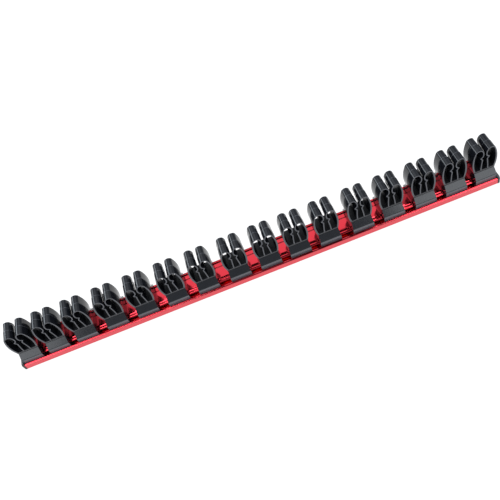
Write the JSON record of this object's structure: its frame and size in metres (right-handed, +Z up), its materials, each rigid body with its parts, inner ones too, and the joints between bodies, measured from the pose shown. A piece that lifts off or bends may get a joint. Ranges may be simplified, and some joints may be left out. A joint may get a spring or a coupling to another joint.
{
  "type": "screwdriver organizer rail",
  "caption": "Magnetic red anodised channel rail with sliding black plastic spring clips that each hold a screwdriver by its shaft, closed by end caps.",
  "frame": {"origin": "under the middle of the rail, on the flat surface it rests on", "axes": "+X along the rail to the right, +Y across it to the back, +Z up out of the jaws"},
  "size_m": [0.4572, 0.0318, 0.0447],
  "materials": {
    "red_anodised": "satin anodised",
    "clip_plastic": "fine moulded satin",
    "cap_plastic": "satin",
    "magnet": "dull",
    "pad_sheet": "matte"
  },
  "bodies": {
    "rail": {"rail": "red_anodised", "base_pad": "pad_sheet", "left_end_cap": "cap_plastic", "right_end_cap": "cap_plastic", "magnet_1": "magnet", "magnet_2": "magnet", "magnet_3": "magnet", "magnet_4": "magnet", "magnet_5": "magnet", "magnet_6": "magnet"},
    "clip_01": {"clip_01": "clip_plastic"},
    "clip_02": {"clip_02": "clip_plastic"},
    "clip_03": {"clip_03": "clip_plastic"},
    "clip_04": {"clip_04": "clip_plastic"},
    "clip_05": {"clip_05": "clip_plastic"},
    "clip_06": {"clip_06": "clip_plastic"},
    "clip_07": {"clip_07": "clip_plastic"},
    "clip_08": {"clip_08": "clip_plastic"},
    "clip_09": {"clip_09": "clip_plastic"},
    "clip_10": {"clip_10": "clip_plastic"},
    "clip_11": {"clip_11": "clip_plastic"},
    "clip_12": {"clip_12": "clip_plastic"},
    "clip_13": {"clip_13": "clip_plastic"},
    "clip_14": {"clip_14": "clip_plastic"},
    "clip_15": {"clip_15": "clip_plastic"},
    "clip_16": {"clip_16": "clip_plastic"}
  },
  "joints": [
    {"name": "clip_01_slide", "type": "slide", "parent": "rail", "child": "clip_01", "axis": [1, 0, 0], "range_m": [0, 0.00144]},
    {"name": "clip_02_slide", "type": "slide", "parent": "rail", "child": "clip_02", "axis": [1, 0, 0], "range_m": [-0.00144, 0.00213]},
    {"name": "clip_03_slide", "type": "slide", "parent": "rail", "child": "clip_03", "axis": [1, 0, 0], "range_m": [-0.00213, 0.00319]},
    {"name": "clip_04_slide", "type": "slide", "parent": "rail", "child": "clip_04", "axis": [1, 0, 0], "range_m": [-0.00319, 0.00307]},
    {"name": "clip_05_slide", "type": "slide", "parent": "rail", "child": "clip_05", "axis": [1, 0, 0], "range_m": [-0.00307, 0.0031]},
    {"name": "clip_06_slide", "type": "slide", "parent": "rail", "child": "clip_06", "axis": [1, 0, 0], "range_m": [-0.0031, 0.00297]},
    {"name": "clip_07_slide", "type": "slide", "parent": "rail", "child": "clip_07", "axis": [1, 0, 0], "range_m": [-0.00297, 0.00366]},
    {"name": "clip_08_slide", "type": "slide", "parent": "rail", "child": "clip_08", "axis": [1, 0, 0], "range_m": [-0.00366, 0.003]},
    {"name": "clip_09_slide", "type": "slide", "parent": "rail", "child": "clip_09", "axis": [1, 0, 0], "range_m": [-0.003, 0.00249]},
    {"name": "clip_10_slide", "type": "slide", "parent": "rail", "child": "clip_10", "axis": [1, 0, 0], "range_m": [-0.00249, 0.00271]},
    {"name": "clip_11_slide", "type": "slide", "parent": "rail", "child": "clip_11", "axis": [1, 0, 0], "range_m": [-0.00271, 0.00397]},
    {"name": "clip_12_slide", "type": "slide", "parent": "rail", "child": "clip_12", "axis": [1, 0, 0], "range_m": [-0.00397, 0.00301]},
    {"name": "clip_13_slide", "type": "slide", "parent": "rail", "child": "clip_13", "axis": [1, 0, 0], "range_m": [-0.00301, 0.00333]},
    {"name": "clip_14_slide", "type": "slide", "parent": "rail", "child": "clip_14", "axis": [1, 0, 0], "range_m": [-0.00333, 0.00281]},
    {"name": "clip_15_slide", "type": "slide", "parent": "rail", "child": "clip_15", "axis": [1, 0, 0], "range_m": [-0.00281, 0.00236]},
    {"name": "clip_16_slide", "type": "slide", "parent": "rail", "child": "clip_16", "axis": [1, 0, 0], "range_m": [-0.00236, 0]}
  ]
}
